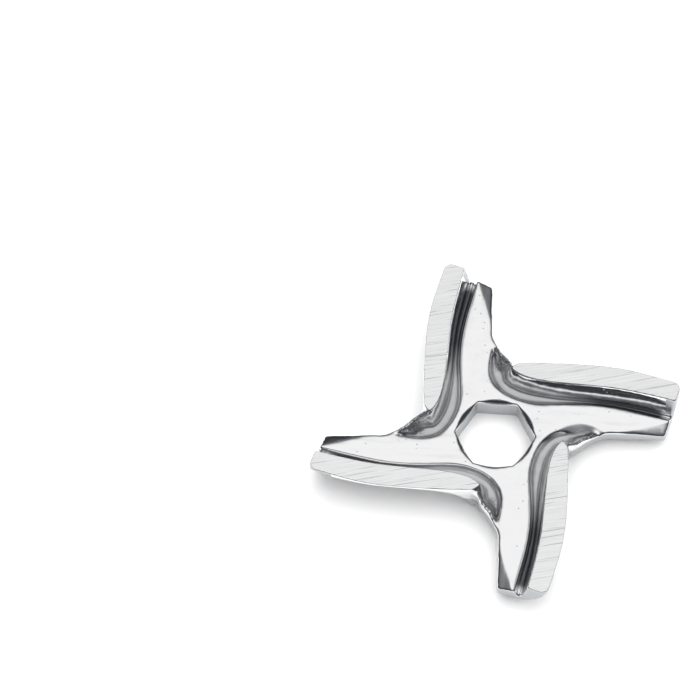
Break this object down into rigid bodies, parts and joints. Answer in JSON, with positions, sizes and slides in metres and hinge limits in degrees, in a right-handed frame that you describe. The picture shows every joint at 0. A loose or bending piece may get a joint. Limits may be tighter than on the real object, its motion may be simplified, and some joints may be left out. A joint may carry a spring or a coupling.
{
  "type": "meat grinder knife",
  "caption": "Cast stainless meat grinder knife with swept cutting arms around a hexagonal drive hole, front lands ground flat, channelled arms and a rounded underside.",
  "frame": {"origin": "on the axis of the drive hole, at the hub's back face", "axes": "+Z along the axis, out of the front, towards the ground cutting lands; +X along one arm, whose cutting edge is on its +Y side"},
  "size_m": [0.0448, 0.0448, 0.0052],
  "materials": {
    "stainless_steel": "polished casting, cutting lands ground flat"
  },
  "bodies": {
    "root": {"knife": "stainless_steel"}
  },
  "joints": []
}
